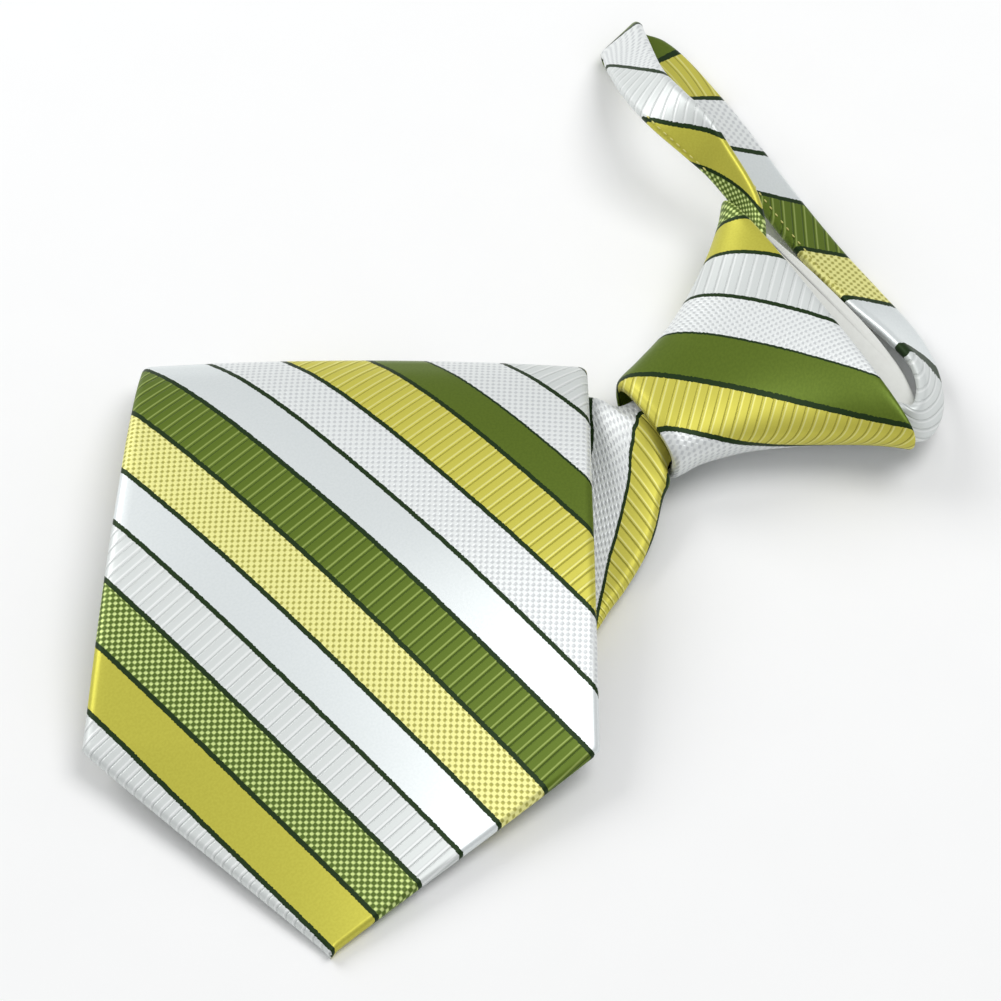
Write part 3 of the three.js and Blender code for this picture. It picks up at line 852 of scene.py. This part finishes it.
former = rounded_plate("former_shell", former_outline(), former_height, former_thickness,
                       former_rounding)
cut_away(former, band_room)
bpy.data.objects.remove(band_room)
print("former", len(former.data.polygons), "faces")

# %% [markdown]
# The zipped tail is hidden behind the blade. It is one plain woven tape, with a ridge where its
# coil runs. It could be a flat box, but it has to rise into the knot's mouth, so it is lofted
# along a path as the band is.

# %% The zipped tail
# Columns: along the tail, width as a share, and rise as a share of the mouth's height
tail_rows = np.array([
    (-0.13, 0.62, 0.30),
    (0.00, 0.62, 0.27),
    (0.10, 0.80, 0.12),
    (0.20, 1.00, 0.0),
    (0.60, 1.00, 0.0),
    (0.97, 1.00, 0.0),
    (1.00, 0.92, 0.0),
])


def tail_rings():
    """The tape's path on the floor and its rings, which rest on that path."""
    points = [mouth + stem_way * row[0] * tail_length + UP * row[2] * knot_mouth_thickness
              for row in tail_rows]
    path = smooth_path(points, 10)
    path[:, 2] = np.maximum(path[:, 2], 0)
    places = np.linspace(0, len(tail_rows) - 1, len(path))
    rings = []
    for point, place in zip(path, places):
        half = tail_width / 2 * min(row_at(tail_rows, place)[1], 1)
        outline = strip_outline(half, tape_thickness / 2, 0.5, 16, 4)
        rings.append(point + outline[:, :1] * stem_right + (outline[:, 1:] + tape_thickness / 2) * UP)
    return path, rings


tail_path, rings = tail_rings()
tail = body("tail_tape", rings, [np.zeros((len(ring) + 1, 2)) for ring in rings])
print("tail", len(tail.data.polygons), "faces")

# %% [markdown]
# Stitches and the zip's coil repeat along a path, so Geometry Nodes make them. The path is a
# line of edges. The tree turns it into a curve, sets points along it at an even pitch, puts one
# small shape on each and turns it with the path. The result is realized as a plain mesh.

# %% A small shape repeated along a path
def repeated(name, path, pitch, size, finish):
    """A mesh of small rounded shapes along a path. Size is along, across and high."""
    line = bpy.data.meshes.new(name)
    places = [tuple(np.asarray(point) * MM) for point in path]
    line.from_pydata(places, [(i, i + 1) for i in range(len(places) - 1)], [])
    piece = bpy.data.objects.new(name, line)
    bpy.context.scene.collection.objects.link(piece)

    tree = bpy.data.node_groups.new(name + "_tree", "GeometryNodeTree")
    face = tree.interface
    face.new_socket("Path", in_out="INPUT", socket_type="NodeSocketGeometry")
    pitch_socket = face.new_socket("Pitch", in_out="INPUT", socket_type="NodeSocketFloat")
    size_socket = face.new_socket("Size", in_out="INPUT", socket_type="NodeSocketVector")
    face.new_socket("Shapes", in_out="OUTPUT", socket_type="NodeSocketGeometry")

    def add(kind, **settings):
        made = tree.nodes.new(kind)
        for key, value in settings.items():
            setattr(made, key, value)
        return made

    given = add("NodeGroupInput")
    result = add("NodeGroupOutput")
    curve = add("GeometryNodeMeshToCurve")
    even = add("GeometryNodeCurveToPoints", mode="LENGTH")
    shape = add("GeometryNodeMeshUVSphere")
    shape.inputs["Segments"].default_value = 8
    shape.inputs["Rings"].default_value = 6
    shape.inputs["Radius"].default_value = 0.5
    smooth = add("GeometryNodeSetShadeSmooth")
    place = add("GeometryNodeInstanceOnPoints")
    real = add("GeometryNodeRealizeInstances")
    paint = add("GeometryNodeSetMaterial")
    paint.inputs["Material"].default_value = finish
    turn = add("FunctionNodeAlignRotationToVector", axis="X")

    def link(source, target):
        tree.links.new(source, target)

    link(given.outputs["Path"], curve.inputs["Mesh"])
    link(curve.outputs["Curve"], even.inputs["Curve"])
    link(given.outputs["Pitch"], even.inputs["Length"])
    link(even.outputs["Points"], place.inputs["Points"])
    link(even.outputs["Tangent"], turn.inputs["Vector"])
    link(turn.outputs["Rotation"], place.inputs["Rotation"])
    link(shape.outputs["Mesh"], smooth.inputs["Geometry"])
    link(smooth.outputs["Geometry"], place.inputs["Instance"])
    link(given.outputs["Size"], place.inputs["Scale"])
    link(place.outputs["Instances"], real.inputs["Geometry"])
    link(real.outputs["Geometry"], paint.inputs["Geometry"])
    link(paint.outputs["Geometry"], result.inputs["Shapes"])

    modifier = piece.modifiers.new("repeat", "NODES")
    modifier.node_group = tree
    modifier[pitch_socket.identifier] = pitch * MM
    modifier[size_socket.identifier] = [side * MM for side in size]
    bpy.context.view_layer.update()
    graph = bpy.context.evaluated_depsgraph_get()
    mesh = bpy.data.meshes.new_from_object(piece.evaluated_get(graph), depsgraph=graph)
    piece.modifiers.remove(modifier)
    piece.data = mesh
    mesh.name = name
    print(name, len(mesh.polygons), "faces")
    return piece


# %% [markdown]
# All cloth of the tie shares one silk finish. It reads the two numbers of the cloth map. One ramp
# gives each stripe its colour, with a thin dark green border at each change. A second ramp says which
# weave the stripe has, and a third gives the weave's other thread, which on the ribs is the painted
# shade of the groove. An image could hold all that, but nodes stay sharp at any size. A small class
# keeps their wiring short.

# %% Short words for shader nodes
def screen_colour(red, green, blue):
    """A colour as read on a screen, from 0 to 255, as the renderer needs it."""
    def linear(level):
        level /= 255
        return level / 12.92 if level < 0.04045 else ((level + 0.055) / 1.055) ** 2.4
    return (linear(red), linear(green), linear(blue), 1)


class Finish:
    """A material, with short words for its nodes."""

    def __init__(self, name):
        self.material = bpy.data.materials.new(name)
        self.material.use_nodes = True
        self.tree = self.material.node_tree
        self.shader = self.tree.nodes["Principled BSDF"]

    def add(self, kind, **settings):
        made = self.tree.nodes.new(kind)
        for key, value in settings.items():
            setattr(made, key, value)
        return made

    def feed(self, socket, value):
        if isinstance(value, bpy.types.NodeSocket):
            self.tree.links.new(value, socket)
        else:
            socket.default_value = value

    def math(self, operation, *values):
        made = self.add("ShaderNodeMath", operation=operation)
        for socket, value in zip(made.inputs, values):
            self.feed(socket, value)
        return made.outputs[0]

    def between(self, low, high, value):
        """Nought below low and one above high, with a soft step between."""
        made = self.add("ShaderNodeMapRange", interpolation_type="SMOOTHSTEP")
        made.inputs["From Min"].default_value = low
        made.inputs["From Max"].default_value = high
        self.feed(made.inputs["Value"], value)
        return made.outputs["Result"]

    def blend(self, share, first, second, kind="MIX"):
        made = self.add("ShaderNodeMix", data_type="RGBA", blend_type=kind)
        for number, value in ((0, share), (6, first), (7, second)):
            self.feed(made.inputs[number], value)
        return made.outputs[2]

    def noise(self, place, scale, detail=2.0):
        made = self.add("ShaderNodeTexNoise")
        self.feed(made.inputs["Vector"], place)
        made.inputs["Scale"].default_value = scale
        made.inputs["Detail"].default_value = detail
        return made.outputs["Fac"]

    def bump(self, height, depth, below=None):
        made = self.add("ShaderNodeBump")
        made.inputs["Distance"].default_value = depth * MM
        self.feed(made.inputs["Height"], height)
        if below is not None:
            self.feed(made.inputs["Normal"], below)
        return made.outputs["Normal"]

    def object_place(self):
        return self.add("ShaderNodeTexCoord").outputs["Object"]


# %% [markdown]
# Each weave shows its colour in its own way: satin lies even, a rib has a groove darkened by painted
# shade, and in the basket weave a light and a dark thread change places. One colour for each dye would
# be too plain, so every stripe has a ground colour and a second colour: a thread colour, and on the
# ribs the painted shade of the groove.

# %% Threads of the stripes
border_width = 0.8
border_colour = screen_colour(30, 52, 18)
ground_colours = {
    ("satin", "yellow"): screen_colour(204, 199, 80),
    ("satin", "green"): screen_colour(100, 120, 38),
    ("satin", "white"): screen_colour(232, 237, 237),
    ("rib", "yellow"): screen_colour(208, 201, 84),
    ("rib", "green"): screen_colour(96, 117, 34),
    ("rib", "white"): screen_colour(220, 224, 222),
    ("basket", "yellow"): screen_colour(242, 239, 156),
    ("basket", "green"): screen_colour(88, 110, 40),
    ("basket", "white"): screen_colour(238, 241, 240),
}
# The second colour of each stripe: its other thread, and on the ribs the painted shade of the groove
thread_and_groove_shade_colours = {
    ("satin", "yellow"): screen_colour(190, 183, 68),
    ("satin", "green"): screen_colour(84, 104, 30),
    ("satin", "white"): screen_colour(222, 228, 228),
    ("rib", "yellow"): screen_colour(152, 145, 48),
    ("rib", "green"): screen_colour(60, 80, 18),
    ("rib", "white"): screen_colour(202, 206, 204),
    ("basket", "yellow"): screen_colour(174, 170, 84),
    ("basket", "green"): screen_colour(214, 232, 148),
    ("basket", "white"): screen_colour(210, 213, 214),
}
weave_flags = {"rib": (1, 0, 0, 1), "basket": (0, 1, 0, 1), "satin": (0, 0, 1, 1)}
print("ground colours", len(ground_colours), "and thread colours", len(thread_and_groove_shade_colours))


def stripe_ramp(finish, place, value_of, border):
    """A ramp over one repeat, with a value for each stripe and one for its border."""
    ramp = finish.add("ShaderNodeValToRGB")
    ramp.color_ramp.interpolation = "CONSTANT"
    finish.feed(ramp.inputs["Fac"], place)
    stops = []
    start = 0
    for weave, colour, width in stripe_repeat:
        stops.append((start / repeat_width, border))
        stops.append(((start + border_width) / repeat_width, value_of(weave, colour)))
        start += width
    elements = ramp.color_ramp.elements
    elements[0].position, elements[0].color = stops[0]
    elements[1].position, elements[1].color = stops[1]
    for position, value in stops[2:]:
        elements.new(position).color = value
    return ramp.outputs["Color"]


# %% [markdown]
# The weave is drawn at its real size. A rib is 2 mm long, with a groove darkened by painted shade and
# a painted highlight line close behind it. The basket weave is a chequer of small dots, light ones on
# green and dark ones on the pale stripes. The threads could be modelled, but they are far thinner than
# the faces, so they are colour and bump. The silk has a metal's share of gloss, as satin has.

# %% The striped silk
rib_pitch = 2.02
basket_pitch = 1.42
edge_step = 0.35
edge_wobble = 0.12
silk_gloss = 0.38
satin_gloss = 0.07
# How far painted shade darkens the rib's groove
painted_groove_shade = 0.75
groove_depth = 0.8
# How much the rib's painted highlight line lightens the colour; its rise below is only bump
glint_strength = 0.45
glint_rise = 0.25
dot_sink = 0.5
float_darkness = 0.4
satin_height = 0.75
weave_depth = 0.1
silk_roughness = 0.46
satin_smoothness = 0.08


def striped_silk():
    """The one finish of blade, knot and band."""
    silk = Finish("striped_silk")
    cloth_place = silk.add("ShaderNodeUVMap", uv_map="stripes")
    parts = silk.add("ShaderNodeSeparateXYZ")
    silk.feed(parts.inputs[0], cloth_place.outputs["UV"])
    across, along = parts.outputs["X"], parts.outputs["Y"]

    # The border's edge steps a little from thread to thread
    step_number = silk.math("FLOOR", silk.math("DIVIDE", along, edge_step))
    wobble = silk.add("ShaderNodeTexWhiteNoise", noise_dimensions="1D")
    silk.feed(wobble.inputs["W"], step_number)
    step = silk.math("MULTIPLY", silk.math("SUBTRACT", wobble.outputs["Value"], 0.5), edge_wobble)
    moved = silk.math("ADD", silk.math("SUBTRACT", across, repeat_start - border_width / 2), step)
    place = silk.math("FRACT", silk.math("DIVIDE", moved, repeat_width))

    ground = stripe_ramp(silk, place, lambda *kind: ground_colours[kind], border_colour)
    thread = stripe_ramp(silk, place, lambda *kind: thread_and_groove_shade_colours[kind], border_colour)
    flags = stripe_ramp(silk, place, lambda weave, colour: weave_flags[weave], (0, 0, 0, 1))
    weave = silk.add("ShaderNodeSeparateColor")
    silk.feed(weave.inputs[0], flags)
    rib, basket, satin = weave.outputs[0], weave.outputs[1], weave.outputs[2]

    # Ribs: flat blocks with a thin groove between them, darkened by painted shade, and a painted
    # highlight line beside it
    turn = silk.math("FRACT", silk.math("DIVIDE", along, rib_pitch))
    from_middle = silk.math("MULTIPLY", silk.math("ABSOLUTE", silk.math("SUBTRACT", turn, 0.5)), 2)
    groove = silk.between(0.80, 0.98, from_middle)
    glint = silk.between(0.13, 0.02, silk.math("ABSOLUTE", silk.math("SUBTRACT", turn, 0.24)))

    # Basket weave: a chequer of small dots
    wave = 2 * math.pi / basket_pitch
    dots = silk.math("MULTIPLY", silk.math("COSINE", silk.math("MULTIPLY", across, wave)),
                     silk.math("COSINE", silk.math("MULTIPLY", along, wave)))
    dot = silk.between(-0.25, 0.8, dots)

    # Satin: fine long floats
    fine = silk.between(0.35, 0.65, silk.noise(cloth_place.outputs["UV"], 2.2, 3))

    # Colour: the thread's share of the basket and satin weaves, painted shade in the rib's groove, and
    # the rib's painted highlight line
    painted_rib_groove_shade = silk.math("MULTIPLY", rib, silk.math("MULTIPLY", groove, painted_groove_shade))
    dark_satin = silk.math("MULTIPLY", satin, silk.math("MULTIPLY", fine, float_darkness))
    dark = silk.math("ADD", silk.math("ADD", painted_rib_groove_shade, silk.math("MULTIPLY", basket, dot)), dark_satin)
    painted_rib_glint = silk.math("MULTIPLY", silk.math("MULTIPLY", rib, glint), glint_strength)
    painted_highlight = silk.add("ShaderNodeGamma")
    silk.feed(painted_highlight.inputs["Color"], silk.blend(dark, ground, thread))
    silk.feed(painted_highlight.inputs["Gamma"], silk.math("SUBTRACT", 1, painted_rib_glint))
    silk.feed(silk.shader.inputs["Base Color"], painted_highlight.outputs["Color"])

    # Relief: ribs as blocks, sunk dots, and satin at one height
    block = silk.math("SUBTRACT", 1, silk.math("MULTIPLY", groove, groove_depth))
    block = silk.math("ADD", block, silk.math("MULTIPLY", glint, glint_rise))
    dotted = silk.math("MULTIPLY", basket, silk.math("MULTIPLY_ADD", dot, -dot_sink, 1))
    height = silk.math("ADD", silk.math("MULTIPLY", rib, block), dotted)
    height = silk.math("ADD", height, silk.math("MULTIPLY", satin, satin_height))
    silk.feed(silk.shader.inputs["Normal"], silk.bump(height, weave_depth))

    rough = silk.math("MULTIPLY_ADD", satin, -satin_smoothness, silk_roughness)
    silk.feed(silk.shader.inputs["Roughness"], rough)
    gloss = silk.math("MULTIPLY_ADD", satin, satin_gloss, silk_gloss)
    silk.feed(silk.shader.inputs["Metallic"], gloss)
    silk.shader.inputs["Specular IOR Level"].default_value = 0.25
    return silk.material


silk = striped_silk()
for piece in (blade, knot, band):
    piece.data.materials.clear()
    piece.data.materials.append(silk)
print("striped silk has", len(silk.node_tree.nodes), "nodes")

# %% [markdown]
# The former is smooth satin plastic. The zip's tape is a plain green weave, and its coil and the
# stitches are dull thread. The tape could share the silk's cloth map, but it has no stripes, so
# its weave and the other grains read the place in the object itself.

# %% Finishes of the smaller pieces
tape_weave = 0.5


def moulded_white():
    """Smooth plastic with a very fine grain."""
    made = Finish("moulded_white")
    grain = made.noise(made.object_place(), 900, 3)
    tone = made.blend(grain, screen_colour(226, 227, 221), screen_colour(236, 237, 232))
    made.feed(made.shader.inputs["Base Color"], tone)
    made.feed(made.shader.inputs["Normal"], made.bump(grain, 0.02))
    made.shader.inputs["Roughness"].default_value = 0.42
    return made.material


def woven_tape():
    """A plain weave: two waves that cross, one for the warp and one for the weft."""
    made = Finish("woven_tape")
    parts = made.add("ShaderNodeSeparateXYZ")
    made.feed(parts.inputs[0], made.object_place())
    wave = 2 * math.pi / (tape_weave * MM)
    warp = made.math("SINE", made.math("MULTIPLY", parts.outputs["X"], wave))
    weft = made.math("SINE", made.math("MULTIPLY", parts.outputs["Y"], wave))
    cross = made.math("MULTIPLY", warp, weft)
    share = made.math("MULTIPLY_ADD", cross, 0.5, 0.5)
    tone = made.blend(share, screen_colour(108, 118, 50), screen_colour(142, 152, 74))
    made.feed(made.shader.inputs["Base Color"], tone)
    made.feed(made.shader.inputs["Normal"], made.bump(share, 0.08))
    made.shader.inputs["Roughness"].default_value = 0.75
    return made.material


def thread(name, colour):
    """Twisted thread, lighter here and there."""
    made = Finish(name)
    twist = made.noise(made.object_place(), 2500, 2)
    tone = made.blend(twist, colour, tuple(min(level * 1.4, 1) for level in colour[:3]) + (1,))
    made.feed(made.shader.inputs["Base Color"], tone)
    made.feed(made.shader.inputs["Normal"], made.bump(twist, 0.03))
    made.shader.inputs["Roughness"].default_value = 0.6
    return made.material


former.data.materials.clear()
former.data.materials.append(moulded_white())
tail.data.materials.append(woven_tape())
coil_finish = thread("coil_thread", screen_colour(120, 126, 70))
seam_finish = thread("seam_thread", screen_colour(196, 190, 110))

# %% [markdown]
# The zip's coil is a row of small turns along the middle of the tape. A spiral curve could draw
# it, but only the tops of its turns stand above the tape. So one rounded shape stands for each
# turn, and the tree above sets them along the tape.

# %% The zip's coil
coil_lift = 0.05
coil_pitch = 1.1
coil_turn = (0.7, coil_width, 1.1)
coil_path = tail_path[8:-2] + UP * (tape_thickness + coil_lift)
coil = repeated("zip_coil", coil_path, coil_pitch, coil_turn, coil_finish)

# %% [markdown]
# The band is closed by hand with small stitches near its edge. They show where that edge faces
# the light: on the strand near the knot, and on the far strand before it turns to the collar.
# A dashed line in the material could draw them, but real stitches stand up from the cloth.

# %% Stitches along the band
stitch_inset = 1.0
stitch_lift = 0.1


def band_edge(start, end):
    """Points just above the cloth near the band's edge, between two lengths along it."""
    stations, reach = band_stations(band_cuts)
    made = []
    for (point, across, normal, wide), length in zip(stations, reach):
        if start <= length <= end:
            upward = normal if normal[2] > 0 else -normal
            made.append(point - across * (band_width / 2 * wide - stitch_inset)
                        + upward * (band_thickness / 2 + stitch_lift))
    return made


near_stitches = repeated("near_stitches", band_edge(33, 47), 1.5, (0.95, 0.3, 0.25), seam_finish)
far_stitches = repeated("far_stitches", band_edge(127, 158), 1.9, (0.9, 0.3, 0.25), seam_finish)

# %% [markdown]
# The tie lies on plain white paper. A backdrop that curves up behind it would do as well, but
# the camera looks down so steeply that a flat sheet fills the view.

# %% Floor
def floor_finish():
    """Matt white paper with a faint grain."""
    made = Finish("studio_paper")
    grain = made.noise(made.object_place(), 60, 2)
    tone = made.blend(grain, (0.95, 0.95, 0.945, 1), (0.97, 0.97, 0.965, 1))
    made.feed(made.shader.inputs["Base Color"], tone)
    made.shader.inputs["Roughness"].default_value = 0.9
    return made.material


floor_half = 3.0
floor_mesh = bpy.data.meshes.new("studio_floor")
floor_corners = [(x * floor_half, y * floor_half, 0) for x, y in ((-1, -1), (1, -1), (1, 1), (-1, 1))]
floor_mesh.from_pydata(floor_corners, [], [(0, 1, 2, 3)])
floor_mesh.materials.append(floor_finish())
floor = bpy.data.objects.new("studio_floor", floor_mesh)
bpy.context.scene.collection.objects.link(floor)
print("floor", 2 * floor_half, "m wide")

# %% [markdown]
# Goods are lit softly from both sides, so that their shadows stay pale. A picture of a room on
# the world could do that, but two round area lights and an even sky need no file. The left one
# is the stronger, and the shadows fall to the right.

# %% Light
def soft_light(name, place, size, power):
    """A round area light that faces the tie. Size is in metres and power in watts."""
    data = bpy.data.lights.new(name, "AREA")
    data.shape = "DISK"
    data.size = size
    data.energy = power
    light = bpy.data.objects.new(name, data)
    light.location = place
    light.rotation_mode = "QUATERNION"
    light.rotation_quaternion = (Vector(place) - aim).to_track_quat("Z", "Y")
    bpy.context.scene.collection.objects.link(light)


soft_light("right_light", (0.4, 0.08, 1.0), 0.7, 4.8)
soft_light("left_light", (-0.85, 0.55, 0.72), 0.8, 6.4)
world = bpy.data.worlds.new("studio_world")
world.use_nodes = True
sky = world.node_tree.nodes["Background"]
sky.inputs["Color"].default_value = (0.97, 0.985, 1, 1)
sky.inputs["Strength"].default_value = 0.45
bpy.context.scene.world = world
bpy.context.scene.view_settings.view_transform = "Standard"

# %% [markdown]
# Every solid of the imported model is replaced by its finer piece, and all of them move with the
# one body of the tie. The stitches and the coil could be joined to their cloth, but as pieces
# of their own they keep their thread's finish.

# %% Each piece in place of its solid, and what it rides on
for piece, node, slot in ((blade, "blade", "striped_silk"), (knot, "knot", "striped_silk"),
                          (band, "neck_band", "striped_silk"), (tail, "zip_tail", "zip_tape"),
                          (former, "knot_former", "former_plastic")):
    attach(piece, "root")
    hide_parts(node)
for piece, slot in ((coil, "zip_tape"), (near_stitches, "striped_silk"),
                    (far_stitches, "striped_silk")):
    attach(piece, "root")

# %% [markdown]


# %% [markdown]
# Last, a short helper gives box corners as short lists, to a hundredth of a millimetre.

# %% Measures
def plain(corners):
    """The corners as short lists, to a hundredth of a millimetre."""
    return [[round(value, 5) for value in corner] for corner in corners]
